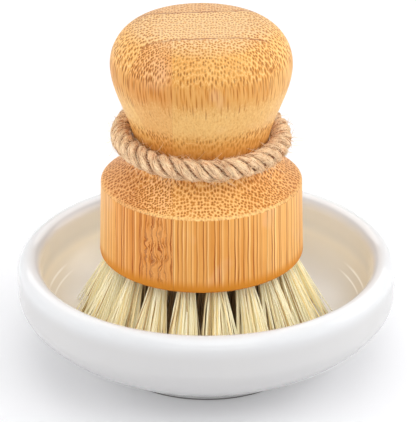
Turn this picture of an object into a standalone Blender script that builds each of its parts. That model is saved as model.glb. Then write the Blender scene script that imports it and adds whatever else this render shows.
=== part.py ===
# Hand brush with a turned bamboo knob, a jute loop round its neck and wire-set tufts,
# standing in its glazed stoneware dish. Metres, +Z up, origin under the middle of the dish.

import math

import bmesh
import bpy
import numpy as np
from mathutils import Matrix, Vector

MM = 0.001

# Fits shared by every piece
GAP = 0.3 * MM  # between pieces that touch on the real object
OVERRUN = 1.0 * MM  # how far a cutter runs past the face that it cuts
MERGE_DISTANCE = 0.001 * MM  # of points that meet on a turning axis

# Dish
DISH_RADIUS = 54.1 * MM
DISH_HEIGHT = 32.0 * MM
DISH_WALL = 6.6 * MM  # its rim is a half round of this width
FLOOR_THICKNESS = 4.8 * MM
FLOOR_FLAT_RADIUS = 18.0 * MM
INSIDE_TURN_HEIGHT = 25.0 * MM  # where the inner wall starts to turn in
OUTSIDE_TURN_HEIGHT = 22.0 * MM  # where the outer wall starts to turn in
UNDERSIDE_SLOPE = math.radians(22)  # where the outside meets the foot ring
WALL_HANDLE_SHARE = 0.42
UNDERSIDE_HANDLE_SHARE = 0.27
FOOT_RADIUS = 29.0 * MM
FOOT_HEIGHT = 2.2 * MM
FOOT_WIDTH = 4.0 * MM
FOOT_EDGE = 0.4 * MM

# Turned wooden body, heights measured from its flat underside
BASE_RADIUS = 29.0 * MM
BASE_TAPER = 0.6 * MM  # how much less the radius is at the top of the block's side
BASE_SIDE_HEIGHT = 22.2 * MM
BASE_EDGE = 1.0 * MM  # rounding under the block
SHOULDER_EDGE = 0.3 * MM
SHOULDER_HEIGHT = 10.6 * MM
SHOULDER_COVE_SHARE = 0.6  # how far down the cove's handle reaches
SHOULDER_SLOPE = math.radians(36)
SHOULDER_HANDLE_SHARE = 0.44
NECK_RADIUS = 18.8 * MM
KNOB_RADIUS = 25.2 * MM
KNOB_RISE = 23.9 * MM  # from the narrowest part of the neck to the widest part of the knob
KNOB_HANDLE_SHARE = 0.33
CROWN_EDGE_RADIUS = 12.0 * MM  # rounding between the knob's side and its flat crown

# Bristle tufts and their blind holes
BRISTLE_LENGTH = 23.7 * MM  # from the wood to the trimmed tips, measured upright
TUFT_RADIUS = 2.2 * MM
HOLE_DEPTH = 8.0 * MM
STRAND_SPACING = 0.2 * MM  # between strands where they leave the root
TIP_GAP = 0.4 * MM  # from the strands' ends to the dish
TIP_FILL_SHARE = 0.95  # how much of its room a flared tuft takes at the tips
FLARE_LIMIT = 2.5  # most times its root width that a tuft opens
INNER_STRAND_SHARE = 0.57
RINGS = (  # ring radius as a share of the base radius, tufts, outward lean of the hole
    ("outer", 0.80, 18, math.radians(19)),
    ("middle", 0.455, 9, math.radians(9)),
    ("centre", 0.0, 1, 0.0),
)
TUFT_SIDES = 8

# Flat wire that pins each folded tuft in its hole
WIRE_THICKNESS = 0.5 * MM
WIRE_HEIGHT = 1.6 * MM
WIRE_EDGE = 0.12 * MM
FOLD_THICKNESS = 1.0 * MM  # of the bristles where they pass over the wire

# Jute loop and the twine that binds its two ends behind the neck
ROPE_RADIUS = 2.9 * MM
ROPE_RISE = 2.3 * MM  # of the loop's middle above the narrowest part of the neck
ROPE_DIP = 1.25 * MM  # how much lower the loop lies in front
ROPE_LEAN = 0.6 * MM  # how much higher it lies on the left
ROPE_POINTS = 40
TWINE_RADIUS = 0.45 * MM
TWINE_PITCH = 1.65 * MM
TWINE_TURNS = 8
TWINE_POINTS_PER_TURN = 10
LEAST_TWINE_GAP = 0.4 * MM

# The brush stands this far to the left of the dish's middle
BRUSH_OFFSET = -1.4 * MM

TURNING_STEPS = 48

# Places that follow from the sizes
floor_height = FOOT_HEIGHT + FLOOR_THICKNESS
inner_radius = DISH_RADIUS - DISH_WALL
neck_height = BASE_SIDE_HEIGHT + SHOULDER_HEIGHT
widest_height = neck_height + KNOB_RISE
crown_height = widest_height + CROWN_EDGE_RADIUS
twine_path_radius = ROPE_RADIUS + GAP + TWINE_RADIUS
flat_share = math.cos(math.pi / TUFT_SIDES)  # a flat's distance from the middle, to a corner's
hole_radius = TUFT_RADIUS + GAP / flat_share
wire_length = 2 * (hole_radius * flat_share - GAP)


def bezier(start, start_handle, end_handle, end, steps):
    """Points of one cubic curve, as (radius, height) pairs."""
    t = np.linspace(0, 1, steps + 1)[:, None]
    start, start_handle, end_handle, end = map(np.array, (start, start_handle, end_handle, end))
    return (
        (1 - t) ** 3 * start
        + 3 * (1 - t) ** 2 * t * start_handle
        + 3 * (1 - t) * t**2 * end_handle
        + t**3 * end
    )


def arc(centre, radius, start, end, steps):
    """Points of an arc from one angle to the other, as (radius, height) pairs."""
    angles = np.linspace(start, end, steps + 1)
    return np.stack([centre[0] + radius * np.cos(angles), centre[1] + radius * np.sin(angles)], axis=1)


def bowl_height(radius):
    """Height of the dish's inner surface: flat, then a quarter of an ellipse up to the wall."""
    share = (radius - FLOOR_FLAT_RADIUS) / (inner_radius - FLOOR_FLAT_RADIUS)
    drop = math.sqrt(1 - min(max(share, 0), 1) ** 2)
    return INSIDE_TURN_HEIGHT - (INSIDE_TURN_HEIGHT - floor_height) * drop


def principled(name, colour, roughness, metallic=0.0):
    material = bpy.data.materials.new(name)
    material.use_nodes = True
    shader = material.node_tree.nodes["Principled BSDF"]
    shader.inputs["Base Color"].default_value = (*colour, 1)
    shader.inputs["Roughness"].default_value = roughness
    shader.inputs["Metallic"].default_value = metallic
    material.diffuse_color = (*colour, 1)
    return material


def add_object(name, data, material, parent=None):
    thing = bpy.data.objects.new(name, data)
    bpy.context.scene.collection.objects.link(thing)
    if material:
        data.materials.append(material)
    thing.parent = parent
    return thing


def mesh_from(name, shape):
    mesh = bpy.data.meshes.new(name)
    shape.to_mesh(mesh)
    shape.free()
    mesh.shade_smooth()
    mesh.set_sharp_from_angle(angle=math.radians(32))
    return mesh


def turned(name, profile, material, parent=None):
    """A solid turned about Z from a profile that starts and ends on the axis, top first."""
    shape = bmesh.new()
    points = [shape.verts.new((radius, 0, height)) for radius, height in profile]
    edges = [shape.edges.new(pair) for pair in zip(points, points[1:])]
    bmesh.ops.spin(
        shape,
        geom=points + edges,
        cent=(0, 0, 0),
        axis=(0, 0, 1),
        angle=2 * math.pi,
        steps=TURNING_STEPS,
        use_merge=True,
    )
    bmesh.ops.remove_doubles(shape, verts=shape.verts, dist=MERGE_DISTANCE)
    bmesh.ops.recalc_face_normals(shape, faces=shape.faces)
    return add_object(name, mesh_from(name, shape), material, parent)


def make_dish(material):
    rim_radius = DISH_WALL / 2
    rim_centre = (DISH_RADIUS - rim_radius, DISH_HEIGHT - rim_radius)
    inside_shares = np.sin(np.linspace(0, math.pi / 2, 10))
    inside = [
        (radius, bowl_height(radius))
        for radius in FLOOR_FLAT_RADIUS + inside_shares * (inner_radius - FLOOR_FLAT_RADIUS)
    ]
    rim = arc(rim_centre, rim_radius, math.pi, 0, 8)
    fall = OUTSIDE_TURN_HEIGHT - FOOT_HEIGHT
    run = DISH_RADIUS - FOOT_RADIUS
    handle = UNDERSIDE_HANDLE_SHARE * run
    outside = bezier(
        (DISH_RADIUS, OUTSIDE_TURN_HEIGHT),
        (DISH_RADIUS, OUTSIDE_TURN_HEIGHT - WALL_HANDLE_SHARE * fall),
        (
            FOOT_RADIUS + handle * math.cos(UNDERSIDE_SLOPE),
            FOOT_HEIGHT + handle * math.sin(UNDERSIDE_SLOPE),
        ),
        (FOOT_RADIUS, FOOT_HEIGHT),
        9,
    )
    foot_inside = FOOT_RADIUS - FOOT_WIDTH
    foot = [
        (FOOT_RADIUS, FOOT_EDGE),
        (FOOT_RADIUS - FOOT_EDGE, 0),
        (foot_inside + FOOT_EDGE, 0),
        (foot_inside, FOOT_EDGE),
        (foot_inside, FOOT_HEIGHT),
        (0, FOOT_HEIGHT),
    ]
    return turned("holder_dish", [(0, floor_height), *inside, *rim, *outside, *foot], material)


def knob_curve():
    """The knob's side below its widest part, from there down to the narrowest part of the neck."""
    handle = KNOB_HANDLE_SHARE * KNOB_RISE
    return bezier(
        (KNOB_RADIUS, widest_height),
        (KNOB_RADIUS, widest_height - handle),
        (NECK_RADIUS, neck_height + handle),
        (NECK_RADIUS, neck_height),
        9,
    )


def make_body(material, brush):
    crown = arc((KNOB_RADIUS - CROWN_EDGE_RADIUS, widest_height), CROWN_EDGE_RADIUS, math.pi / 2, 0, 8)
    top_radius = BASE_RADIUS - BASE_TAPER
    handle = SHOULDER_HANDLE_SHARE * (top_radius - NECK_RADIUS)
    shoulder = bezier(
        (NECK_RADIUS, neck_height),
        (NECK_RADIUS, neck_height - SHOULDER_COVE_SHARE * SHOULDER_HEIGHT),
        (
            top_radius - handle * math.cos(SHOULDER_SLOPE),
            BASE_SIDE_HEIGHT + handle * math.sin(SHOULDER_SLOPE),
        ),
        (top_radius - SHOULDER_EDGE, BASE_SIDE_HEIGHT),
        8,
    )
    side = [(top_radius, BASE_SIDE_HEIGHT - SHOULDER_EDGE), (BASE_RADIUS, BASE_EDGE)]
    edge = arc((BASE_RADIUS - BASE_EDGE, BASE_EDGE), BASE_EDGE, 0, -math.pi / 2, 3)
    profile = [(0, crown_height), *crown, *knob_curve()[1:], *shoulder[1:], *side, *edge[1:], (0, 0)]
    return turned("wooden_body", profile, material, brush)


def tuft_places():
    """(name, matrix in the brush's frame, lean, flare) of every tuft. Local +X points outwards."""
    tip_radii = [share * BASE_RADIUS + BRISTLE_LENGTH * math.tan(lean) for _, share, _, lean in RINGS]
    for (ring, share, count, lean), tip_radius in zip(RINGS, tip_radii):
        to_next = min(abs(tip_radius - other) for other in tip_radii if other != tip_radius)
        room = min(math.pi * tip_radius / count, to_next / 2) if count > 1 else to_next / 2
        flare = min(FLARE_LIMIT, TIP_FILL_SHARE * room / TUFT_RADIUS)
        for index in range(count):
            place = (
                Matrix.Rotation(2 * math.pi * index / count, 4, "Z")
                @ Matrix.Translation((share * BASE_RADIUS, 0, 0))
                @ Matrix.Rotation(-lean, 4, "Y")
            )
            yield f"{ring}_{index + 1:02d}", place, lean, flare


def corners(radius, height):
    angles = [2 * math.pi * (k + 0.5) / TUFT_SIDES for k in range(TUFT_SIDES)]
    return [Vector((radius * math.cos(a), radius * math.sin(a), height)) for a in angles]


def prism(shape, low, high, place):
    """Adds a closed prism between two outlines with as many corners."""
    bottom = [shape.verts.new(place @ point) for point in low]
    top = [shape.verts.new(place @ point) for point in high]
    shape.faces.new(bottom[::-1])
    shape.faces.new(top)
    for k in range(len(low)):
        after = (k + 1) % len(low)
        shape.faces.new((bottom[k], bottom[after], top[after], top[k]))


def cutter(name, outlines, brush):
    """One hidden cutter made of a prism for each (low outline, high outline, place)."""
    shape = bmesh.new()
    for low, high, place in outlines:
        prism(shape, low, high, place)
    thing = add_object(name, mesh_from(name, shape), None, brush)
    thing.hide_render = True
    thing.display_type = "WIRE"
    return thing


def cut(thing, tool):
    modifier = thing.modifiers.new(tool.name, "BOOLEAN")
    modifier.operation = "DIFFERENCE"
    modifier.solver = "EXACT"
    modifier.object = tool


def wire_middle():
    return HOLE_DEPTH - GAP - FOLD_THICKNESS - GAP - WIRE_HEIGHT / 2


def wire_section(thickness, height, edge, along):
    """The flat wire's outline across its length, at one place along local Y."""
    half, tall = thickness / 2, height / 2
    outline = [
        (half - edge, -tall),
        (half, edge - tall),
        (half, tall - edge),
        (half - edge, tall),
        (edge - half, tall),
        (-half, tall - edge),
        (-half, edge - tall),
        (edge - half, -tall),
    ]
    return [Vector((x, along, wire_middle() + z)) for x, z in outline]


def strand_faces(shape, height):
    """The root's underside as 16 triangles, each of which becomes a strand, and its rim points."""
    rim = [shape.verts.new(point) for point in corners(TUFT_RADIUS, height)]
    middle = shape.verts.new((0, 0, height))
    inner = []
    for k in range(4):
        angle = k * math.pi / 2
        radius = INNER_STRAND_SHARE * TUFT_RADIUS
        inner.append(shape.verts.new((radius * math.cos(angle), radius * math.sin(angle), height)))
    faces = []
    for k in range(4):
        here, after = inner[k], inner[(k + 1) % 4]
        before, first, second = rim[2 * k - 1], rim[2 * k], rim[(2 * k + 1) % TUFT_SIDES]
        for trio in ((middle, here, after), (here, before, first), (here, first, after), (after, first, second)):
            faces.append(shape.faces.new(trio[::-1]))
    return faces, rim


def strand_end(start, along, trim_height):
    """Where a strand's edge meets the trimmed face or the dish's inside, whichever comes first."""

    def above(reach):
        point = start + along * reach
        radius = math.hypot(point.x, point.y)
        return point.z - max(trim_height, bowl_height(radius) + TIP_GAP)

    near, far = 0.0, 2.0
    for _ in range(40):
        middle = (near + far) / 2
        near, far = (middle, far) if above(middle) > 0 else (near, middle)
    return near


def make_tuft(name, material, brush, place, lean, flare, trim_height):
    """A folded bundle: the root that fills the hole, and straight strands that fan out of it."""
    shape = bmesh.new()
    root_height = TUFT_RADIUS * math.sin(lean)
    strands, rim = strand_faces(shape, root_height)
    top = [shape.verts.new(point) for point in corners(TUFT_RADIUS, HOLE_DEPTH - GAP)]
    shape.faces.new(top)
    for k in range(TUFT_SIDES):
        after = (k + 1) % TUFT_SIDES
        shape.faces.new((rim[k], rim[after], top[after], top[k]))
    bmesh.ops.inset_individual(shape, faces=strands, thickness=STRAND_SPACING / 2)
    pulled = bmesh.ops.extrude_discrete_faces(shape, faces=strands)["faces"]
    world = brush.matrix_world @ place
    reach = root_height + BRISTLE_LENGTH / math.cos(lean)
    for face in pulled:
        middle = face.calc_center_median()
        spread = Vector((middle.x * (flare - 1), middle.y * (flare - 1), -reach))
        along = world.to_3x3() @ spread
        for point in face.verts:
            point.co += spread * strand_end(world @ point.co, along, trim_height)
    bmesh.ops.recalc_face_normals(shape, faces=shape.faces)
    tuft = add_object(f"tuft_{name}", mesh_from(f"tuft_{name}", shape), material, brush)
    tuft.matrix_local = place
    return tuft


def make_wire(name, mesh, brush, place):
    wire = bpy.data.objects.new(f"wire_{name}", mesh)
    bpy.context.scene.collection.objects.link(wire)
    wire.parent = brush
    wire.matrix_local = place
    return wire


def tube(name, points, radius, roundness, material, parent):
    """A tube with capped ends along a list of points."""
    curve = bpy.data.curves.new(name, "CURVE")
    curve.dimensions = "3D"
    curve.bevel_depth = radius
    curve.bevel_resolution = roundness
    curve.use_fill_caps = True
    spline = curve.splines.new("POLY")
    spline.points.add(len(points) - 1)
    for target, point in zip(spline.points, points):
        target.co = (*point, 1)
    return add_object(name, curve, material, parent)


def rope_point(angle):
    """The loop's middle line at an angle from the front, in the brush's frame. It stands off the
    neck by the fit gap, and by the twine's thickness as well where it is bound at the back."""
    lean = ROPE_LEAN * math.sin(angle) - ROPE_DIP * math.cos(angle)
    height = neck_height + ROPE_RISE + lean
    neck = knob_curve()[::-1]
    radius = np.interp(height, neck[:, 1], neck[:, 0])
    behind = ((1 - math.cos(angle)) / 2) ** 4
    stand_off = GAP + ROPE_RADIUS + behind * (twine_path_radius + TWINE_RADIUS - ROPE_RADIUS)
    radius += stand_off
    return Vector((-radius * math.sin(angle), -radius * math.cos(angle), height))


def rope_frame(angle):
    """The middle line's point, its outward direction and the direction square to both."""
    step = math.radians(1)
    along = (rope_point(angle + step) - rope_point(angle - step)).normalized()
    middle = rope_point(angle)
    outward = Vector((middle.x, middle.y, 0))
    outward -= along * outward.dot(along)
    outward.normalize()
    return middle, outward, along.cross(outward)


def make_rope(material, brush):
    loop_radius = (rope_point(math.pi).xy).length
    end = math.pi - GAP / loop_radius
    angles = np.linspace(-end, end, ROPE_POINTS + 1)
    return tube("rope_loop", [rope_point(a) for a in angles], ROPE_RADIUS, 3, material, brush)


def make_binding(material, brush):
    """Twine wound round the two butted ends of the rope, as one unbroken tube."""
    loop_radius = (rope_point(math.pi).xy).length
    span = TWINE_TURNS * TWINE_PITCH / loop_radius
    points = []
    for k in range(TWINE_TURNS * TWINE_POINTS_PER_TURN + 1):
        turn = k / TWINE_POINTS_PER_TURN
        middle, outward, square = rope_frame(math.pi + (turn / TWINE_TURNS - 0.5) * span)
        winding = 2 * math.pi * turn
        points.append(middle + twine_path_radius * (outward * math.cos(winding) + square * math.sin(winding)))
    places = np.array(points)
    apart = np.linalg.norm(places[:, None] - places[None], axis=2)
    steps = np.abs(np.subtract.outer(np.arange(len(points)), np.arange(len(points))))
    least = apart[steps > TWINE_POINTS_PER_TURN / 2].min() - 2 * TWINE_RADIUS
    print(f"least gap between turns of the binding: {least / MM:.2f} mm")
    if least < LEAST_TWINE_GAP:
        print("the binding's turns lie closer than its least gap")
    return tube("rope_binding", points, TWINE_RADIUS, 1, material, brush)


def make_brush():
    ceramic = principled("glazed_ceramic", (0.88, 0.87, 0.85), 0.12)
    bamboo = principled("bamboo", (0.78, 0.47, 0.19), 0.45)
    fibre = principled("plant_fibre", (0.83, 0.76, 0.53), 0.6)
    jute = principled("jute", (0.55, 0.39, 0.27), 0.85)
    steel = principled("steel_wire", (0.62, 0.62, 0.63), 0.3, 1.0)

    make_dish(ceramic)
    outer_share, outer_lean = RINGS[0][1], RINGS[0][3]
    tip_radius = outer_share * BASE_RADIUS + BRISTLE_LENGTH * math.tan(outer_lean)
    trim_height = bowl_height(tip_radius + abs(BRUSH_OFFSET)) + TIP_GAP
    brush = bpy.data.objects.new("brush", None)
    bpy.context.scene.collection.objects.link(brush)
    brush.location = (BRUSH_OFFSET, 0, trim_height + BRISTLE_LENGTH)
    bpy.context.view_layer.update()

    body = make_body(bamboo, brush)
    places = list(tuft_places())
    holes = [
        (corners(hole_radius, -TUFT_RADIUS - OVERRUN), corners(hole_radius, HOLE_DEPTH), place)
        for _, place, _, _ in places
    ]
    cut(body, cutter("tuft_holes", holes, brush))
    slot_thickness = WIRE_THICKNESS + 2 * GAP
    slot_height = WIRE_HEIGHT + 2 * GAP
    slot_reach = hole_radius + OVERRUN
    slots = [
        (
            wire_section(slot_thickness, slot_height, WIRE_EDGE, slot_reach),
            wire_section(slot_thickness, slot_height, WIRE_EDGE, -slot_reach),
            place,
        )
        for _, place, _, _ in places
    ]
    slot_cutter = cutter("wire_slots", slots, brush)
    shape = bmesh.new()
    near = wire_section(WIRE_THICKNESS, WIRE_HEIGHT, WIRE_EDGE, wire_length / 2)
    far = wire_section(WIRE_THICKNESS, WIRE_HEIGHT, WIRE_EDGE, -wire_length / 2)
    prism(shape, near, far, Matrix.Identity(4))
    wire_mesh = mesh_from("wire", shape)
    wire_mesh.materials.append(steel)
    for name, place, lean, flare in places:
        tuft = make_tuft(name, fibre, brush, place, lean, flare, trim_height)
        cut(tuft, slot_cutter)
        make_wire(name, wire_mesh, brush, place)
    make_rope(jute, brush)
    make_binding(jute, brush)


for old in list(bpy.data.objects):
    bpy.data.objects.remove(old, do_unlink=True)
make_brush()
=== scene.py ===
# Palm brush of turned laminated bamboo with splayed fibre tufts and a jute loop, in its glazed dish.
# Shapes are worked out in millimetres and become metres where a mesh is made.
import math

import bmesh
import bpy
import numpy as np
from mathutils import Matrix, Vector


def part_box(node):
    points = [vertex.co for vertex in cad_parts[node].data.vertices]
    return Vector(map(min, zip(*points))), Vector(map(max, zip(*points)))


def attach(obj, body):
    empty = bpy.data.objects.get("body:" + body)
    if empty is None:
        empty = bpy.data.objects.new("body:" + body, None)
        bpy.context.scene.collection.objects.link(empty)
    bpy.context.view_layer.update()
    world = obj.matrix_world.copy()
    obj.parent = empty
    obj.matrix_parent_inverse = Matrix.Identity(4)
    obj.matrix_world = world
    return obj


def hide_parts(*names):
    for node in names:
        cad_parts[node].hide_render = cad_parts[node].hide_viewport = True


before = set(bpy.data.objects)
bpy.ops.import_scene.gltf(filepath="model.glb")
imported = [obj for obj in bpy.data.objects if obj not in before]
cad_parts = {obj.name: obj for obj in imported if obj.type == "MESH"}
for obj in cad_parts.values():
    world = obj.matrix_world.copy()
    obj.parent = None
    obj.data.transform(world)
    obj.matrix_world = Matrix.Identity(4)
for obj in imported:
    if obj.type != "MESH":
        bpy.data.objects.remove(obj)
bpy.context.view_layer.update()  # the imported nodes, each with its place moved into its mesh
mm = 0.001


def nodeBox(node):
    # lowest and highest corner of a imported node, in millimetres
    low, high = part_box(node)
    return np.array(low) / mm, np.array(high) / mm


woodLow, woodHigh = nodeBox("wooden_body")
dishLow, dishHigh = nodeBox("holder_dish")
axisX = (woodLow[0] + woodHigh[0]) / 2  # the brush stands a little left of the dish's middle
print("frame loaded:", len(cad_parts), "nodes")


# Curves, surfaces and meshes

def curveBetween(start, startHandle, endHandle, end, count):
    # one cubic curve: each end and handle weighted by its power of the share t of the way
    t = np.linspace(0, 1, count + 1)[:, None]
    weights = ((1 - t) ** 3, 3 * (1 - t) ** 2 * t, 3 * (1 - t) * t**2, t**3)
    return sum(w * np.array(p) for w, p in zip(weights, (start, startHandle, endHandle, end)))


def arcPoints(centre, radius, startAngle, endAngle, count):
    # centre plus radius times (cosine, sine) of evenly spaced angles
    angles = np.radians(np.linspace(startAngle, endAngle, count + 1))
    return np.array(centre) + radius * np.stack([np.cos(angles), np.sin(angles)], axis=1)


def lineBetween(start, end, count):
    # evenly spaced points from one end to the other
    return np.linspace(start, end, count + 1)


def joined(*stretches):
    # one profile from stretches whose ends meet
    return np.vstack([stretches[0], *[s[1:] for s in stretches[1:]]])


def turnedSurface(profile, columns, centre):
    # (radius, height) turned about the vertical: x = radius cos a, y = radius sin a; one point at each pole
    rings = profile[1:-1]
    angles = 2 * np.pi * np.arange(columns) / columns
    ring = np.stack([np.cos(angles), np.sin(angles)], axis=1)
    wall = np.empty((len(rings), columns, 3))
    wall[..., :2] = rings[:, None, :1] * ring + np.array(centre)
    wall[..., 2] = rings[:, None, 1]
    poles = np.array([(*centre, profile[0, 1]), (*centre, profile[-1, 1])])
    points = np.vstack([wall.reshape(-1, 3), poles])
    here = np.arange(len(rings) * columns).reshape(-1, columns)
    after = np.roll(here, -1, axis=1)
    quads = np.stack([here[:-1], here[1:], after[1:], after[:-1]], axis=-1).reshape(-1, 4)
    first, last = len(points) - 2, len(points) - 1
    top = np.stack([np.full(columns, first), here[0], after[0]], axis=-1)
    bottom = np.stack([np.full(columns, last), after[-1], here[-1]], axis=-1)
    return points, [quads, top, bottom]


def unit(vectors):
    # each vector divided by its length
    return vectors / np.linalg.norm(vectors, axis=-1, keepdims=True)


def squareTo(vectors, along):
    # each vector without its part along another, which has length 1, and then made length 1 too
    return unit(vectors - along * (vectors * along).sum(-1, keepdims=True))


def wound(first, second, angle):
    # the direction that turns from the first to the second: cos a first + sin a second
    return first * np.cos(angle) + second * np.sin(angle)


def tubeSurface(paths, normals, radii, sides):
    # paths: tubes x rings x 3. A ring is path + radius (cos a normal + sin a binormal), square to the path
    along = unit(np.gradient(paths, axis=1))
    normals = squareTo(normals, along)
    angles = 2 * np.pi * np.arange(sides)[:, None] / sides
    across = wound(normals[:, :, None], np.cross(along, normals)[:, :, None], angles)
    points = paths[:, :, None] + radii[..., None] * across
    index = np.arange(points[..., 0].size).reshape(points.shape[:3])
    after = np.roll(index, -1, axis=2)
    quads = np.stack([index[:, :-1], after[:, :-1], after[:, 1:], index[:, 1:]], axis=-1).reshape(-1, 4)
    caps = np.concatenate([index[:, 0, ::-1], index[:, -1]])
    return points.reshape(-1, 3), [quads, caps]


def makeMesh(name, points, faces):
    # a smooth mesh from points in millimetres and blocks of faces
    mesh = bpy.data.meshes.new(name)
    mesh.from_pydata((points * mm).tolist(), [], [face for block in faces for face in block.tolist()])
    mesh.validate()
    mesh.shade_smooth()
    return mesh


def addPiece(name, mesh, material, body, replaced=()):
    # a finished piece: it rides on its body and takes the place of the imported nodes named
    mesh.materials.clear()
    mesh.materials.append(material)
    piece = bpy.data.objects.new(name, mesh)
    bpy.context.scene.collection.objects.link(piece)
    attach(piece, body)
    if replaced:
        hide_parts(*replaced)
    return piece


def storeValues(mesh, each=1, **values):
    # numbers that a material can read: one for each point, or one for each so many points in a row
    for name, numbers in values.items():
        attribute = mesh.attributes.new(name, "FLOAT", "POINT")
        attribute.data.foreach_set("value", np.repeat(numbers, each).astype(np.float32).ravel())


# Shader building

class Value:
    # a shader output to reckon with: each sign adds a maths node, or a vector one for places and colours
    def __init__(self, socket):
        self.socket = socket

    def __add__(self, other):
        return maths("ADD", self, other)

    def __sub__(self, other):
        return maths("SUBTRACT", self, other)

    def __rsub__(self, other):
        return maths("SUBTRACT", other, self)

    def __mul__(self, other):
        if isVector(self) and not isVector(other):
            return addNode("ShaderNodeVectorMath", 0, {0: self, "Scale": other}, operation="SCALE")
        return maths("MULTIPLY", self, other)

    def __truediv__(self, other):
        return maths("DIVIDE", self, other)


def isVector(value):
    return value.socket.type in ("VECTOR", "RGBA") if isinstance(value, Value) else isinstance(value, tuple)


def setInputs(node, inputs):
    # a value is linked, and anything else is set on the socket itself
    for name, value in inputs.items():
        if isinstance(value, Value):
            node.id_data.links.new(value.socket, node.inputs[name])
        else:
            node.inputs[name].default_value = value


def addNode(kind, wanted, inputs, tree=None, **settings):
    # the wanted outputs of a new node, which joins the tree of the first value that goes in
    tree = tree or next(value.socket.id_data for value in inputs.values() if isinstance(value, Value))
    node = tree.nodes.new(kind)
    for setting, value in settings.items():
        setattr(node, setting, value)
    setInputs(node, inputs)
    if isinstance(wanted, tuple):
        return [Value(node.outputs[name]) for name in wanted]
    return Value(node.outputs[wanted])


def startMaterial(name):
    material = bpy.data.materials.new(name)
    material.use_nodes = True
    tree = material.node_tree
    return material, tree, tree.nodes["Principled BSDF"]


def maths(operation, *values):
    # the operation on all the values, by the vector node if one of them is a place or a colour
    kind = "ShaderNodeVectorMath" if any(isVector(value) for value in values) else "ShaderNodeMath"
    return addNode(kind, 0, dict(enumerate(values)), operation=operation)


def larger(first, second):
    return maths("MAXIMUM", first, second)


def above(value, limit):
    return maths("GREATER_THAN", value, limit)


def vectorLength(vector):
    return addNode("ShaderNodeVectorMath", "Value", {0: vector}, operation="LENGTH")


def combine(x, y, z):
    return addNode("ShaderNodeCombineXYZ", 0, {0: x, 1: y, 2: z})


def parts(vector):
    return addNode("ShaderNodeSeparateXYZ", (0, 1, 2), {0: vector})


def remap(value, fromLow, fromHigh, toLow=0.0, toHigh=1.0, kind="SMOOTHSTEP"):
    # one range spread over another and held at its ends, smoothly unless another kind is given
    inputs = {0: value, 1: fromLow, 2: fromHigh, 3: toLow, 4: toHigh}
    return addNode("ShaderNodeMapRange", 0, inputs, interpolation_type=kind)


def between(share, low, high):
    # low where the share is 0, high where it is 1
    return remap(share, 0.0, 1.0, low, high)


def bandAt(value, centre, half, soft):
    # 1 within half of the centre, then down to 0 over a soft edge
    return remap(maths("ABSOLUTE", value - centre), half, half + soft, 1.0, 0.0)


def mixColour(share, first, second, blend="MIX"):
    inputs = {0: share, 6: first, 7: second}
    return addNode("ShaderNodeMix", 2, inputs, data_type="RGBA", blend_type=blend)


def painted(colour, layers):
    # one layer over another: how much of it shows, its colour, and how it is mixed where that isn't plain
    for share, paint, *blend in layers:
        colour = mixColour(share, colour, paint, *blend)
    return colour


def noise(place, detail=2.0, roughness=0.5, scale=1.0):
    inputs = {"Vector": place, "Scale": scale, "Detail": detail, "Roughness": roughness}
    return addNode("ShaderNodeTexNoise", 0, inputs)


def objectPlace(tree, centre=(0.0, 0.0, 0.0)):
    # the point's place in millimetres, from a centre
    return addNode("ShaderNodeTexCoord", "Object", {}, tree) * (1 / mm) - centre


def upwardShare(tree):
    # how far the surface faces up, or down where it is negative
    return parts(addNode("ShaderNodeTexCoord", "Normal", {}, tree))[2]


def storedValues(tree, *names):
    return [addNode("ShaderNodeAttribute", "Fac", {}, tree, attribute_name=name) for name in names]


def bumpFrom(height, strength, depth):
    return addNode("ShaderNodeBump", 0, {"Height": height, "Strength": strength, "Distance": depth * mm})


# Camera and light

camera = {"distance": 600, "elevation": 25.0, "target": (0.44, 0.0, 45.17), "lens": 180.09, "sensor": 36.0}


def addCamera():
    # in front of the target and above it, tipped down by the elevation
    data = bpy.data.cameras.new("camera")
    data.sensor_width = camera["sensor"]
    data.lens = camera["lens"]
    data.clip_start = 10 * mm
    thing = bpy.data.objects.new("camera", data)
    rise = math.radians(camera["elevation"])
    back = Vector((0, -math.cos(rise), math.sin(rise)))
    thing.location = (Vector(camera["target"]) + back * camera["distance"]) * mm
    thing.rotation_euler = (math.pi / 2 - rise, 0, 0)
    bpy.context.scene.collection.objects.link(thing)
    bpy.context.scene.camera = thing


lights = {
    "skyLow": 0.20,
    "skyHigh": 0.12,
    "skyInGloss": 0.85,
    # a window that only a gloss sees
    "sideGlow": {"toward": (0.86, 0.26, 0.44), "spread": (0.90, 0.99), "strength": 2.0},
    "boxes": {
        "front": {"place": (80, -520, 780), "size": (620, 520), "power": 1.8},
        "low": {"place": (0, -800, 300), "size": (800, 300), "power": 1.15},
        "over": {"place": (0, -60, 900), "size": (700, 700), "power": 1.75},
        "left": {"place": (-600, -60, 300), "size": (1000, 460), "power": 3.2, "mirrored": False},
        "right": {"place": (590, -60, 360), "size": (1000, 560), "power": 4.2, "mirrored": False},
        "back": {"place": (0, 620, 700), "size": (1200, 640), "power": 3.3},
    },
}


def addSoftbox(name, facts, aim=(0, 0, 40)):
    # a lamp with a broad face, turned towards the brush
    data = bpy.data.lights.new(name, "AREA")
    data.shape = "RECTANGLE"
    data.size, data.size_y = facts["size"][0] * mm, facts["size"][1] * mm
    data.energy = facts["power"]
    thing = bpy.data.objects.new(name, data)
    thing.location = Vector(facts["place"]) * mm
    thing.visible_glossy = facts.get("mirrored", True)
    thing.rotation_euler = (Vector(aim) - Vector(facts["place"])).to_track_quat("-Z", "Y").to_euler()
    bpy.context.scene.collection.objects.link(thing)


def seenDirectly(tree):
    # 1 for rays from the camera, then 1 for those that a gloss or glass sends on
    wanted = ("Is Camera Ray", "Is Glossy Ray", "Is Transmission Ray")
    shown, glossy, through = addNode("ShaderNodeLightPath", wanted, {}, tree)
    return shown, larger(glossy, through)


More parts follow.
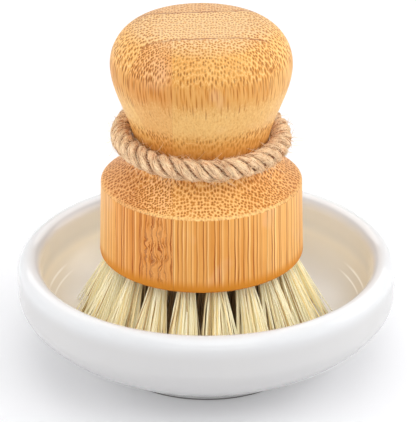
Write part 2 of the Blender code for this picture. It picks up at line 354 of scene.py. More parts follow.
def addSky():
    # white where it is seen directly, a dim fill elsewhere, and a window that shows in the glaze
    world = bpy.data.worlds.new("studio")
    bpy.context.scene.world = world
    world.use_nodes = True
    shown, mirrored = seenDirectly(world.node_tree)
    toward = addNode("ShaderNodeTexCoord", "Generated", {}, world.node_tree)
    level = remap(parts(toward)[2], 0.0, 0.9, lights["skyLow"], lights["skyHigh"])
    glow = lights["sideGlow"]
    inputs = {0: toward, 1: glow["toward"]}
    nearness = addNode("ShaderNodeVectorMath", "Value", inputs, operation="DOT_PRODUCT")
    window = remap(nearness, *glow["spread"], lights["skyInGloss"], lights["skyInGloss"] + glow["strength"])
    level = larger(larger(level, mirrored * window), shown)
    setInputs(world.node_tree.nodes["Background"], {"Color": (1, 1, 1, 1), "Strength": level})


floor = {
    "size": 6000,
    "colour": (0.76, 0.76, 0.775, 1),
    "fleck": (0.8, 0.8, 0.8, 1),
    "lift": (0.15, 0.40, 1.0),
    "liftAt": (170, 520, 800),
}


def addFloor():
    # a pale sheet whose own shade is lifted to white for what sees it directly
    material, tree, shader = startMaterial("studioPaper")
    place = objectPlace(tree)
    away = vectorLength(place)
    (near, middle, far), (low, some, full) = floor["liftAt"], floor["lift"]
    lift = remap(away, near, middle, low, some) + remap(away, middle, far, 0.0, full - some)
    setInputs(shader, {
        "Base Color": mixColour(noise(place, scale=0.3) * 0.02, floor["colour"], floor["fleck"]),
        "Roughness": 0.9,
        "Specular IOR Level": 0.0,
        "Emission Color": (1, 1, 1, 1),
        "Emission Strength": larger(*seenDirectly(tree)) * lift,
    })
    half = floor["size"] / 2
    corners = np.array([(-half, -half, 0), (half, -half, 0), (half, half, 0), (-half, half, 0)], float)
    mesh = makeMesh("floor", corners, [np.array([[0, 1, 2, 3]])])
    mesh.materials.append(material)
    sheet = bpy.data.objects.new("floor", mesh)
    bpy.context.scene.collection.objects.link(sheet)


# Turned bamboo body

wood = {
    "baseRadius": 29.0,
    "baseTaper": 0.6,
    "sideHeight": 22.2,
    "bottomEdge": 1.0,
    "shoulderEdge": 0.45,
    "shoulderHeight": 10.6,
    "shoulderCoveShare": 0.6,
    "shoulderSlope": 36,
    "shoulderHandleShare": 0.44,
    "neckRadius": 18.8,
    "knobRadius": 25.2,
    "knobRise": 23.9,
    "knobHandleShare": 0.33,
    "crownEdge": 12.0,
    "columns": 288,
    "holeRadius": 2.5,
    "holeDepth": 8.0,
    "holeColumns": 28,
    "holeChamfer": 0.35,
    "holeOverrun": 3.0,
}
undersideZ = woodLow[2]
blockTopZ = undersideZ + wood["sideHeight"]
neckZ = blockTopZ + wood["shoulderHeight"]
widestZ = neckZ + wood["knobRise"]
crownZ = widestZ + wood["crownEdge"]


def knobSide(count):
    # from the knob's widest ring down to the narrowest of the neck
    handle = wood["knobHandleShare"] * wood["knobRise"]
    return curveBetween(
        (wood["knobRadius"], widestZ),
        (wood["knobRadius"], widestZ - handle),
        (wood["neckRadius"], neckZ + handle),
        (wood["neckRadius"], neckZ),
        count,
    )


def woodProfile():
    # radius and height from the crown's middle down to the middle of the underside
    crownFlat = wood["knobRadius"] - wood["crownEdge"]
    crown = lineBetween((0, crownZ), (crownFlat, crownZ), 14)
    crownEdge = arcPoints((crownFlat, widestZ), wood["crownEdge"], 90, 0, 24)
    topRadius = wood["baseRadius"] - wood["baseTaper"]
    slope = math.radians(wood["shoulderSlope"])
    handle = wood["shoulderHandleShare"] * (topRadius - wood["neckRadius"])
    edge = wood["shoulderEdge"]
    shoulder = curveBetween(
        (wood["neckRadius"], neckZ),
        (wood["neckRadius"], neckZ - wood["shoulderCoveShare"] * wood["shoulderHeight"]),
        (topRadius - edge - handle * math.cos(slope), blockTopZ + handle * math.sin(slope)),
        (topRadius - edge, blockTopZ + edge * math.sin(slope) / 2),
        36,
    )
    corner = curveBetween(
        shoulder[-1],
        (topRadius - edge / 3, blockTopZ),
        (topRadius, blockTopZ - edge / 2),
        (topRadius, blockTopZ - edge),
        4,
    )
    low = wood["bottomEdge"]
    side = lineBetween((topRadius, blockTopZ - edge), (wood["baseRadius"], undersideZ + low), 20)
    under = arcPoints((wood["baseRadius"] - low, undersideZ + low), low, 0, -90, 6)
    flat = lineBetween((wood["baseRadius"] - low, undersideZ), (0, undersideZ), 12)
    return joined(crown, crownEdge, knobSide(40), shoulder, corner, side, under, flat)


def makeHoles(places):
    # each blind hole is turned about its own axis, with a flat bottom and a chamfered mouth
    size, deep, over = wood["holeRadius"], wood["holeDepth"], wood["holeOverrun"]
    chamfer = wood["holeChamfer"]
    profile = np.array(
        [(0, deep), (size, deep), (size, chamfer), (size + chamfer + over, -over), (0, -over)], float
    )
    local, faces = turnedSurface(profile, wood["holeColumns"], (0, 0))
    offsets = np.arange(len(places)) * len(local)
    points = np.vstack([mouth + local @ axes for _, _, mouth, axes in places])
    joinedFaces = [(block[None] + offsets[:, None, None]).reshape(-1, block.shape[1]) for block in faces]
    cutter = bpy.data.objects.new("holeCutter", makeMesh("holeCutter", points, joinedFaces))
    bpy.context.scene.collection.objects.link(cutter)
    return cutter


def withoutSlivers(mesh, least=0.002):
    # points closer than the least distance become one, and faces left without an area go
    shape = bmesh.new()
    shape.from_mesh(mesh)
    bmesh.ops.remove_doubles(shape, verts=shape.verts, dist=least * mm)
    bmesh.ops.dissolve_degenerate(shape, edges=shape.edges, dist=least * mm)
    bmesh.ops.triangulate(shape, faces=shape.faces)
    shape.to_mesh(mesh)
    shape.free()


def makeWoodenBody(material, places):
    # the profile turned about the brush's axis, less the holes
    points, faces = turnedSurface(woodProfile(), wood["columns"], (axisX, 0))
    blank = bpy.data.objects.new("woodBlank", makeMesh("woodBlank", points, faces))
    bpy.context.scene.collection.objects.link(blank)
    cutter = makeHoles(places)
    cut = blank.modifiers.new("tuftHoles", "BOOLEAN")
    cut.operation, cut.solver, cut.object = "DIFFERENCE", "EXACT", cutter
    bpy.context.view_layer.update()
    drilled = bpy.data.meshes.new_from_object(blank.evaluated_get(bpy.context.evaluated_depsgraph_get()))
    withoutSlivers(drilled)
    drilled.set_sharp_from_angle(angle=math.radians(35))
    bpy.data.objects.remove(blank)
    bpy.data.objects.remove(cutter)
    return addPiece("turnedBody", drilled, material, "brush", ["wooden_body"])


# Glazed dish

dish = {
    "wall": 6.6,
    "floorThickness": 4.8,
    "floorFlatRadius": 18.0,
    "insideTurnHeight": 25.0,
    "outsideTurnHeight": 22.0,
    "undersideSlope": 22,
    "wallHandleShare": 0.42,
    "undersideHandleShare": 0.27,
    "footRadius": 29.0,
    "footHeight": 2.2,
    "footWidth": 4.0,
    "footEdge": 0.4,
    "columns": 288,
}
dishRadius, dishHeight = dishHigh[0], dishHigh[2]
bowlRadius = dishRadius - dish["wall"]
bowlFloorZ = dish["footHeight"] + dish["floorThickness"]


def bowlHeight(radius):
    # flat floor, then a quarter of an ellipse up to the wall
    share = np.clip((radius - dish["floorFlatRadius"]) / (bowlRadius - dish["floorFlatRadius"]), 0, 1)
    return dish["insideTurnHeight"] - (dish["insideTurnHeight"] - bowlFloorZ) * np.sqrt(1 - share**2)


def dishProfile():
    # radius and height from the bowl's middle over the rim and down to the middle inside the foot ring
    flat = dish["floorFlatRadius"]
    radius = flat + np.sin(np.linspace(0, math.pi / 2, 41)) * (bowlRadius - flat)
    bowl = np.stack([radius, bowlHeight(radius)], axis=1)
    floorFlat = lineBetween((0, bowlFloorZ), bowl[0], 6)
    half = dish["wall"] / 2
    rim = arcPoints((dishRadius - half, dishHeight - half), half, 180, 0, 32)
    wallIn = lineBetween(bowl[-1], rim[0], 3)
    wallOut = lineBetween(rim[-1], (dishRadius, dish["outsideTurnHeight"]), 6)
    fall = dish["outsideTurnHeight"] - dish["footHeight"]
    handle = dish["undersideHandleShare"] * (dishRadius - dish["footRadius"])
    slope = math.radians(dish["undersideSlope"])
    belly = curveBetween(
        wallOut[-1],
        (dishRadius, dish["outsideTurnHeight"] - dish["wallHandleShare"] * fall),
        (dish["footRadius"] + handle * math.cos(slope), dish["footHeight"] + handle * math.sin(slope)),
        (dish["footRadius"], dish["footHeight"]),
        40,
    )
    edge, inner = dish["footEdge"], dish["footRadius"] - dish["footWidth"]
    outerEdge = arcPoints((dish["footRadius"] - edge, edge), edge, 0, -90, 4)
    innerEdge = arcPoints((inner + edge, edge), edge, -90, -180, 4)
    foot = [
        lineBetween(belly[-1], outerEdge[0], 3),
        outerEdge,
        lineBetween(outerEdge[-1], innerEdge[0], 3),
        innerEdge,
        lineBetween(innerEdge[-1], (inner, dish["footHeight"]), 2),
        lineBetween((inner, dish["footHeight"]), (0, dish["footHeight"]), 6),
    ]
    return joined(floorFlat, bowl, wallIn, rim, wallOut, belly, *foot)


def makeDish(material):
    # the profile turned about the dish's axis
    points, faces = turnedSurface(dishProfile(), dish["columns"], (0, 0))
    mesh = makeMesh("glazedDish", points, faces)
    mesh.set_sharp_from_angle(angle=math.radians(50))
    return addPiece("glazedDish", mesh, material, "holder", ["holder_dish"])


# Tufts

tufts = {
    # each ring of holes: its radius as a share of the block's, its count and its outward lean in degrees
    "rings": (("outer", 0.80, 18, 19.0), ("middle", 0.455, 9, 9.0), ("centre", 0.0, 1, 0.0)),
    "length": 23.7,
    "longest": 60.0,  # more than any slanted fibre could reach
    "rootRadius": 2.3,
    "folded": 42,  # fibres folded over each wire, with two ends each
    "fibreRadius": (0.15, 0.25),
    "sides": 5,
    "flares": {"outer": 2.55, "middle": 2.35, "centre": 2.4},
    "wave": 0.26,
    "points": 5,  # along each half of a fibre
    "scatter": 0.15,
    "strayShare": 0.10,
    "strayScatter": 0.32,
    "tipGap": 0.35,
    "wireHalf": 0.25,
    "wireTop": 7.2,
    "wireTall": 1.4,
    "foldWidth": 1.4,
    "foldSqueeze": 0.85,
    "foldRoom": 0.6,
    "foldFall": 1.6,
    "rootLeast": 0.12,
    "rootJitter": 0.08,
    "tipTaper": 0.72,
    "seed": 11,
}
trimZ = undersideZ - tufts["length"]
goldenAngle = math.pi * (3 - math.sqrt(5))


def tuftPlaces():
    # name, ring, middle of the hole's mouth and the hole's outward, sideways and inward directions
    places = []
    for ring, share, count, lean in tufts["rings"]:
        slant = math.radians(lean)
        for number in range(count):
            turn = 2 * math.pi * number / count
            out = np.array([math.cos(turn), math.sin(turn), 0])
            up = np.array([0, 0, 1])
            mouth = np.array([axisX, 0, undersideZ]) + out * share * wood["baseRadius"]
            across = out * math.cos(slant) + up * math.sin(slant)
            sideways = np.cross(up, out)
            inward = up * math.cos(slant) - out * math.sin(slant)
            places.append((f"{ring}_{number + 1:02d}", ring, mouth, np.array([across, sideways, inward])))
    return places


def fibreReach(start, direction):
    # how far each fibre runs before the trimmed plane or the dish's inside, found by halving
    near, far = np.zeros(len(start)), np.full(len(start), tufts["longest"])
    for _ in range(30):
        middle = (near + far) / 2
        point = start + direction * middle[:, None]
        limit = np.maximum(trimZ, bowlHeight(np.hypot(point[:, 0], point[:, 1])) + tufts["tipGap"])
        free = point[:, 2] > limit
        near, far = np.where(free, middle, near), np.where(free, far, middle)
    return near


def fibreLeg(mouth, axes, root, flare, rng):
    # one straight fibre from the hole's mouth to its tip, with a small wave that ends at both ends
    count = len(root)
    spread = root * (flare - 1)
    scatter = np.where(rng.random(count) < tufts["strayShare"], tufts["strayScatter"], tufts["scatter"])
    down = tufts["length"]
    spread = spread + rng.normal(0, 1, (count, 2)) * scatter[:, None] * down / 4
    direction = unit(spread[:, :1] * axes[0] + spread[:, 1:] * axes[1] - down * axes[2])
    start = mouth + root[:, :1] * axes[0] + root[:, 1:] * axes[1]
    start = start + direction * ((start[:, 2] - undersideZ) / -direction[:, 2])[:, None]
    reach = fibreReach(start, direction)
    share = np.linspace(1, 0, tufts["points"])
    path = start[:, None] + direction[:, None] * (share[None, :, None] * reach[:, None, None])
    bends = rng.normal(0, tufts["wave"], (count, 2, 2))
    phase = math.pi * share[None, :, None]
    wave = np.sin(phase) * bends[:, :1] + np.sin(2 * phase) * bends[:, 1:] / 2
    return path + wave[..., :1] * axes[0] + wave[..., 1:] * axes[1]


def makeTuft(name, ring, mouth, axes, material, rng):
    # fibres folded over the wire: up one side of it, across its top and down the other side
    count, jitter = tufts["folded"], tufts["rootJitter"]
    order = (np.arange(count) + 0.5) / count
    radius = np.sqrt(order) * tufts["rootRadius"]
    turn = np.arange(count) * goldenAngle + rng.uniform(0, 2 * math.pi)
    root = np.stack([np.abs(radius * np.cos(turn)), radius * np.sin(turn)], axis=1)
    root += rng.normal(0, jitter, root.shape)
    root[:, 0] = np.maximum(root[:, 0], tufts["rootLeast"])
    mirrored = root * (-1, 1) + rng.normal(0, jitter, root.shape)
    flare = tufts["flares"][ring]
    outer = fibreLeg(mouth, axes, root, flare, rng)
    inner = fibreLeg(mouth, axes, mirrored, flare, rng)
    layer = root[:, 0] / tufts["rootRadius"]
    thick = rng.uniform(*tufts["fibreRadius"], count)
    besideX = tufts["wireHalf"] + thick + layer * tufts["foldWidth"]
    besideY = root[:, 1] * tufts["foldSqueeze"]
    topZ = tufts["wireTop"] - tufts["wireTall"] + thick + layer * tufts["foldRoom"]
    beside = np.stack([besideX, besideY, topZ - tufts["foldFall"]], axis=1)
    overTop = np.stack([besideX * 0, besideY, topZ], axis=1)
    bend = mouth + np.stack([beside, overTop, beside * (-1, 1, 1)], axis=1) @ axes
    paths = np.concatenate([outer, bend, inner[:, ::-1]], axis=1)
    rings, tip = paths.shape[1], tufts["tipTaper"]
    taper = np.interp(np.arange(rings), [0, 2, rings - 3, rings - 1], [tip, 1, 1, tip])
    radii = (thick[:, None] * taper)[..., None]
    normals = np.broadcast_to(axes[1], paths.shape)
    points, faces = tubeSurface(paths, normals, radii, tufts["sides"])
    mesh = makeMesh(f"tuft_{name}", points, faces)
    storeValues(mesh, rings * tufts["sides"], fibreShade=rng.random(count))
    depth = np.clip((undersideZ - points[:, 2]) / tufts["length"], 0, 1)
    outward = (points - mouth) @ axes[0] / (tufts["rootRadius"] * (1 + depth * (flare - 1)))
    # fibreOutside: how far out a point lies in an outer tuft, and -1 in the inner rings; the fibre material
    # paints the inward fibres darker as shade
    storeValues(mesh, fibreDepth=depth, fibreOutside=outward if ring == "outer" else -1 + 0 * depth)
    return addPiece(f"bristles_{name}", mesh, material, "brush", [f"tuft_{name}"])


# Rope loop and its twine binding

rope = {
    "radius": 2.9,
    "rise": 2.3,
    "dip": 1.25,
    "lean": 0.6,
    "gap": 0.3,
    "turns": 12,
    "strands": 3,
    "strandRadius": 1.345,
    "strandOffset": 1.65,
    "neckClearance": 0.08,
    "rings": 700,
    "sides": 26,
    "ridges": ((5, 1.0), (9, 0.7), (14, 0.5)),  # waves round a strand, and their height
    "ridgeTwist": 1.15,
    "ridgeHeight": 0.13,
    "lumps": ((1.9, 2, 0.35), (0.83, 1, 0.3)),  # pace along a strand, shift from strand to strand, height
    "endGap": 0.3,
    "seed": 23,
}
twine = {
    "radius": 0.45,
    "pitch": 1.65,
    "turns": 8,
    "rings": 130,  # in each turn
    "sides": 8,
    "plyRadius": 0.25,
    "plyOffset": 0.2,
    "plyPitch": 1.9,
    "fibreStep": 0.2,
}
twinePathRadius = rope["radius"] + rope["gap"] + twine["radius"]


def loopMiddle(angle):
    # the loop's middle line at angles from the front: it stands off the neck, and further where it is bound
    height = neckZ + rope["rise"] + rope["lean"] * np.sin(angle) - rope["dip"] * np.cos(angle)
    neck = knobSide(200)[::-1]
    behind = ((1 - np.cos(angle)) / 2) ** 4
    standOff = rope["gap"] + rope["radius"] + behind * (twinePathRadius + twine["radius"] - rope["radius"])
    radius = np.interp(height, neck[:, 1], neck[:, 0]) + standOff
    return np.stack([axisX - radius * np.sin(angle), -radius * np.cos(angle), height], axis=-1)


def loopFrame(angle):
    # points of the middle line, and there the way out, the way square to it and the line's own way
    step = math.radians(1)
    along = unit(loopMiddle(angle + step) - loopMiddle(angle - step))
    middle = loopMiddle(angle)
    outward = squareTo((middle - (axisX, 0, 0)) * (1, 1, 0), along)
    return middle, outward, np.cross(along, outward), along


def loopRadius(angle):
    # how far the middle line runs from the brush's axis
    return np.linalg.norm(loopMiddle(np.array(angle))[:2] - (axisX, 0))


def clearOfNeck(points):
    # points that would touch the neck move straight out from its middle line, so the loop can turn
    neck = knobSide(200)[::-1]
    out = points[:, :2] - (axisX, 0)
    radius = np.linalg.norm(out, axis=1)
    least = np.interp(points[:, 2], neck[:, 1], neck[:, 0]) + rope["neckClearance"]
    moved = points.copy()
    moved[:, :2] = (axisX, 0) + out * (np.maximum(radius, least) / radius)[:, None]
    return moved


def makeRope(material):
    # strands wind round the loop's middle: line + offset (cos a outward + sin a square), with ridged skins
    end = math.pi - rope["endGap"] / 2 / loopRadius(math.pi)
    angle = np.linspace(-end, end, rope["rings"])
    middle, outward, square, _ = loopFrame(angle)
    strand = np.arange(rope["strands"])[:, None]
    winding = rope["turns"] * angle + 2 * np.pi * strand / rope["strands"]
    off = wound(outward, square, winding[..., None])
    offset = rope["strandOffset"]
    paths = middle + offset * off
    length = np.cumsum(np.linalg.norm(np.gradient(paths, axis=1), axis=-1), axis=1)
    aroundStrand = 2 * np.pi * np.arange(rope["sides"]) / rope["sides"]
    skew = length[..., None] * rope["ridgeTwist"] - strand[..., None]
    rng = np.random.default_rng(rope["seed"])
    ridges = np.zeros((*length.shape, rope["sides"]))
    for waves, height in rope["ridges"]:
        phase = rng.uniform(0, 2 * np.pi, (rope["strands"], 1, 1))
        swell = 0.6 + 0.4 * np.sin(length[..., None] * rng.uniform(0.5, 1.4) + phase)
        ridges += height * swell * np.sin(waves * aroundStrand + skew + phase)
    lumps = sum(tall * np.sin(length * pace + strand * shift) for pace, shift, tall in rope["lumps"])
    radii = rope["strandRadius"] + rope["ridgeHeight"] * (ridges / 2 + lumps[..., None])
    points, faces = tubeSurface(paths, off, radii, rope["sides"])
    mesh = makeMesh("ropeLoop", clearOfNeck(points), faces)
    storeValues(mesh, rope["sides"], fibreRun=length, strandNumber=strand + 0 * length)
    around = (aroundStrand + 0 * length[..., None]) * rope["strandRadius"]
    fromMiddle = np.sqrt(offset**2 + radii**2 + 2 * offset * radii * np.cos(aroundStrand))
    storeValues(mesh, fibreAround=around, fromMiddle=fromMiddle)
    return addPiece("ropeLoop", mesh, material, "rope", ["rope_loop"])


fuzz = {
    "count": 3600,
    "length": (0.8, 4.2),
    "radius": 0.072,
    "rings": 5,
    "tipTaper": 0.6,
    "depth": 0.2,
    "lift": 0.8,
    "stray": 0.25,
    "curl": 0.35,
    "curlOut": 0.1,
    "innerShare": 0.3,  # hairs that lie in the grooves on the neck's side
    "innerSpread": 0.8,
    "innerDepth": 1.2,
    "upright": (0.31, 0.22, 0.92),  # a direction that no hair runs in exactly
    "seed": 31,
}


def storeHairValues(mesh, rng, count, each):
    # where each hair lies in the jute's pattern: anywhere
    for name, most in (("fibreRun", 100), ("fibreAround", 10), ("strandNumber", 3)):
        storeValues(mesh, each, **{name: rng.uniform(0, most, count)})


def makeFuzz(material):
    # loose hairs: each leaves the rope's skin at a slant and curls as the square of the way along it
    rng = np.random.default_rng(fuzz["seed"])
    count, rings = fuzz["count"], fuzz["rings"]
    bound = twine["turns"] * twine["pitch"] / 2 / loopRadius(math.pi)  # the binding's half, as an angle
    angle = rng.uniform(bound - math.pi, math.pi - bound, count)
    middle, outward, square, along = loopFrame(angle)
    inner = (np.arange(count) < fuzz["innerShare"] * count)[:, None]
    around = rng.uniform(-1, 1, (count, 1))
    winding = np.where(inner, math.pi + fuzz["innerSpread"] * around, math.pi * around)
    depth = np.where(inner, fuzz["innerDepth"] * rng.random((count, 1)), fuzz["depth"])
    off = wound(outward, square, winding)
    low, high = fuzz["length"]
    length = (low + (high - low) * rng.random(count) ** 3)[:, None, None]
    way = np.linspace(0, 1, rings)[None, :, None]
    sign = np.where(rng.random(count) < 0.5, -1, 1)[:, None]
    lift = off * fuzz["lift"] * rng.random((count, 1)) ** 3
    direction = unit(lift + along * sign + rng.normal(0, fuzz["stray"], (count, 3)))
    curl = rng.normal(0, fuzz["curl"], (count, 3)) + off * fuzz["curlOut"]
    start = middle + off * (rope["radius"] - depth)
    paths = start[:, None] + length * (direction[:, None] * way + curl[:, None] * way**2)
    radii = fuzz["radius"] * (1 - fuzz["tipTaper"] * way) * np.ones((count, rings, 1))
    points, faces = tubeSurface(paths, np.broadcast_to(fuzz["upright"], paths.shape), radii, 3)
    mesh = makeMesh("ropeFuzz", clearOfNeck(points), faces)
    storeHairValues(mesh, rng, count, rings * 3)
    hairLight = rng.random(count) * ~inner[:, 0]
    # hairs on the neck's side get a fromMiddle of 1, so that the jute material paints them dark as shade
    storeValues(mesh, rings * 3, fromMiddle=inner[:, 0] * 1.0, hairLight=hairLight)
    return addPiece("ropeFuzz", mesh, material, "rope")


laidHairs = {
    "count": 2600,
    "length": (2.5, 7.0),
    "radius": (0.045, 0.095),
    "reach": 1.6,  # how far round a strand they lie, to each side of its outermost line
    "skew": 0.9,
    "height": (-0.02, 0.10),
    "loose": 0.35,
    "looseEnd": 0.6,
    "tipTaper": 0.5,
    "rings": 7,
    "darkShare": 0.16,
    "seed": 37,
}


def makeLaidHairs(material):
    # single fibres laid along the strands: a strand's line plus its radius times (cosine, sine) of an angle
    rng = np.random.default_rng(laidHairs["seed"])
    count, rings = laidHairs["count"], laidHairs["rings"]
    way = np.linspace(-0.5, 0.5, rings)
    length = rng.uniform(*laidHairs["length"], (count, 1))
    radius = loopRadius(0.0)
    strandRun = math.hypot(radius, rope["turns"] * rope["strandOffset"])  # for each radian of the loop
    room = math.pi - rope["endGap"] / radius - laidHairs["length"][1] / strandRun
    angle = rng.uniform(-room, room, (count, 1)) + way * length / strandRun
    middle, outward, square, _ = loopFrame(angle)
    strand = rng.integers(0, rope["strands"], (count, 1))
    winding = rope["turns"] * angle + 2 * np.pi * strand / rope["strands"]
    off = wound(outward, square, winding[..., None])
    line = middle + rope["strandOffset"] * off
    forward = unit(np.gradient(line, axis=1))
    normal = squareTo(off, forward)
    skew = rng.normal(0.5, 0.5, (count, 1)) * laidHairs["skew"]
    reach, end = laidHairs["reach"], laidHairs["looseEnd"]
    turn = rng.uniform(-reach, reach, (count, 1)) + skew * way * length / rope["strandRadius"] / 2
    lift = laidHairs["loose"] * rng.random((count, 1)) ** 4
    lift = lift * (2 * way + rng.choice([-end, end], (count, 1))) ** 4 / 4
    height = (rng.uniform(*laidHairs["height"], (count, 1)) + lift)[..., None]
    skin = wound(normal, np.cross(forward, normal), turn[..., None])
    paths = line + (rope["strandRadius"] + height) * skin
    taper = 1 - laidHairs["tipTaper"] * np.abs(2 * way) ** 3
    radii = (rng.uniform(*laidHairs["radius"], (count, 1)) * taper)[..., None]
    points, faces = tubeSurface(paths, normal, radii, 3)
    mesh = makeMesh("ropeHairs", clearOfNeck(points), faces)
    storeValues(mesh, 3, fromMiddle=np.linalg.norm(paths - middle, axis=-1))
    storeHairValues(mesh, rng, count, rings * 3)
    storeValues(mesh, rings * 3, hairLight=rng.random(count))
    storeValues(mesh, rings * 3, hairDark=rng.random(count) < laidHairs["darkShare"])
    return addPiece("ropeHairs", mesh, material, "rope")


def makeBinding(material):
    # two plies wind round the twine's line, which winds round the rope's two ends
    turn = np.linspace(0, twine["turns"], twine["turns"] * twine["rings"])
    angle = math.pi + (turn - twine["turns"] / 2) * twine["pitch"] / loopRadius(math.pi)
    middle, outward, square, _ = loopFrame(angle)
    off = wound(outward, square, (2 * np.pi * turn)[:, None])
    line = middle + twinePathRadius * off
    run = np.concatenate([[0], np.cumsum(np.linalg.norm(np.diff(line, axis=0), axis=1))])
    forward = unit(np.gradient(line, axis=0))
    ply = np.arange(2)[:, None]
    twist = (2 * np.pi * run / twine["plyPitch"] + np.pi * ply)[..., None]
    plyOff = wound(off, np.cross(forward, off), twist)
    paths = line + twine["plyOffset"] * plyOff
    radii = np.full((*paths.shape[:2], 1), twine["plyRadius"])
    sides = twine["sides"]
    points, faces = tubeSurface(paths, plyOff, radii, sides)
    mesh = makeMesh("twineBinding", points, faces)
    storeValues(mesh, sides, fibreRun=run + 0 * ply, strandNumber=ply + 0 * run)
    storeValues(mesh, fibreAround=np.tile(np.arange(sides) * twine["fibreStep"], 2 * len(run)))
    return addPiece("twineBinding", mesh, material, "rope", ["rope_binding"])


# Materials

bambooLook = {
    "stripWidth": 25.8,
    "stripPhase": 7.7,
    "layerShift": 9.4,
    "frontSeam": -13.5,
    "backSeam": 7.5,
    "seamTurn": 0.105,  # how much further back the layers' seams lie for each millimetre to the right
    "seamBow": 1.8,
    "seamWaver": 1.2,
    "seamWidth": (0.16, 0.45),
    "bundleSpacing": {"left": 0.70, "front": 0.92, "right": 0.76, "middle": 0.90, "back": 0.90},
    "bundleShade": {"left": 1.0, "front": 0.8, "right": 1.0, "middle": 1.0, "back": 0.9},
    "lineSpacing": {"left": 1.05, "front": 1.3, "right": 1.2, "middle": 1.15, "back": 1.15},
    "bundleSpread": 0.70,
    "rowStretch": 0.56,  # behind the front layer the bundles stand further apart from front to back
    "ground": (0.90, 0.465, 0.13, 1),
    "deep": (0.71, 0.275, 0.042, 1),
    "bundle": (0.31, 0.08, 0.008, 1),
    "web": (0.98, 0.64, 0.26, 1),
    "pinkHighlight": (0.88, 0.50, 0.27, 1),
    "endPale": (0.645, 0.40, 0.225, 1),
    "endPaleFront": (0.65, 0.425, 0.26, 1),
    "seam": (0.30, 0.075, 0.015, 1),
    "line": (0.38, 0.09, 0.008, 1),
    "lowEdge": (0.67, 0.245, 0.018, 1),
    "lowEdgeHeight": (1.0, 4.5),
    "ropeShade": (5.0, 11.0),  # heights above the neck's narrowest ring
    "coreShare": (0.15, 0.36),
    "denseSides": (8.0, 16.0),  # from here outwards the bundles stand closer and darker
    "aroundRadius": 21.8,
    "sideSpread": 0.12,  # lines stand further apart where the body turns away to the sides
    "node": {"place": (-12.4, 43.5), "spread": (5.6, 15.0), "sway": 3.4, "curl": 2.1},
    "pinkHighlightPlaces": ((-12.5, 96.0), (-12.0, 60.0)),
    "dashes": {"cell": (0.90, 8.0), "core": (0.08, 0.27), "lean": 0.61},  # bundles cut at a small slant
    "strokes": {"cell": (0.70, 6.5), "core": (0.08, 0.26), "lean": 0.0},  # short strokes at the cane's node
    "leftShoulder": {"reach": (-19.0, -13.0), "tint": (0.87, 0.78, 0.74, 1)},
    "rightShoulder": {"reach": (20.0, 27.0), "tint": (0.80, 0.73, 0.68, 1)},
    "leftStripTint": (0.98, 0.91, 0.89, 1),
    "leftEnd": (-28.0, -24.0, 0.35, 0.0),
    "knobTint": (0.95, 1, 1, 1),
    "crownBackTint": (0.91, 0.85, 0.87, 1),
}


def bundleDots(cellPlace, coreShare, unstretch=(1.0, 1.0, 1.0)):
    # bundles cut across: each cell of a flat Voronoi pattern has a dark core with a halo
    inputs = {"Vector": cellPlace, "Scale": 1.0, "Randomness": bambooLook["bundleSpread"]}
    own, middle = addNode("ShaderNodeTexVoronoi", ("Color", "Position"), inputs, voronoi_dimensions="2D")
    low, high = coreShare
    fromCore = vectorLength((cellPlace - middle) * unstretch)
    core = remap(fromCore, low, high, 1.0, 0.0) * remap(parts(own)[0], 0.0, 0.7, 0.5, 1.0)
    return core, remap(fromCore, high * 0.8, high * 1.5, 1.0, 0.0)


def bundleNet(cellPlace):
    # the pale net that parts the cells of the same pattern
    inputs = {"Vector": cellPlace, "Scale": 1.0, "Randomness": bambooLook["bundleSpread"]}
    kind = {"voronoi_dimensions": "2D", "feature": "DISTANCE_TO_EDGE"}
    return remap(addNode("ShaderNodeTexVoronoi", "Distance", inputs, **kind), 0.03, 0.17, 1.0, 0.0)


def longDots(around, z, facts):
    # the same pattern drawn out along the cane
    wide, tall = facts["cell"]
    column = around / wide
    return bundleDots(combine(column, z / tall + column * facts["lean"], 0.0), facts["core"])


def sawnLines(around, z, density, onKnob):
    # bundles cut along: cells round the body, each with a dark line and a pale one, broken up on the knob
    inputs = {"W": around * density, "Scale": 1.0, "Randomness": 0.75}
    colour, middle = addNode("ShaderNodeTexVoronoi", ("Color", "W"), inputs, voronoi_dimensions="1D")
    own = parts(colour)
    offset = around - middle / density
    run = noise(combine(middle * 3.1, z * between(onKnob, 0.05, 0.24), 0.0), 1.0)
    broken = remap(run, 0.40, 0.58, between(onKnob, 0.6, 0.0), 1.0)
    dark = bandAt(offset, 0.0, 0.10, 0.10) * remap(own[0], 0.0, 0.8, 0.5, 1.0)
    pale = bandAt(offset, 0.36, 0.10, 0.12) * remap(own[1], 0.0, 0.8, 0.25, 1.0)
    return dark * broken, pale * broken, own[2]


def gluedBillets(place, x, y, z):
    # three layers from front to back, each of strips side by side; on the crown their seams bow back
    look = bambooLook
    rise, fall = remap(z, crownZ - 6, crownZ - 2), remap(z, crownZ - 2, crownZ, 1.0, 0.0, "LINEAR")
    bow = rise * look["seamBow"] * fall
    waver = (noise(place * (0.5, 0.1, 0.1), 3.0) - 0.5) * look["seamWaver"]
    depth = y - x * look["seamTurn"] - bow + waver
    past = {
        "left": above(x, -look["stripPhase"]),
        "right": above(x, look["stripWidth"] - look["stripPhase"]),
        "front": above(depth, look["frontSeam"]),
        "back": above(depth, look["backSeam"]),
    }
    layer = past["front"] + past["back"]
    column = (x + layer * look["layerShift"] + look["stripPhase"]) / look["stripWidth"]
    billet = layer * 7.0 + maths("FLOOR", column)
    own = addNode("ShaderNodeTexWhiteNoise", ("Value", "Color"), {"W": billet}, noise_dimensions="1D")
    share = maths("FRACT", column)
    toSeam = maths("MINIMUM", share, 1 - share) * look["stripWidth"]
    sideSeam = remap(toSeam, 0.04, 0.22, 0.28, 0.0) * remap(z, blockTopZ - 1, blockTopZ + 1, 1.0, 0.35)
    layerSeams = [bandAt(depth, look[seam], *look["seamWidth"]) for seam in ("frontSeam", "backSeam")]
    return depth, past, layer, own, sideSeam, larger(*layerSeams)


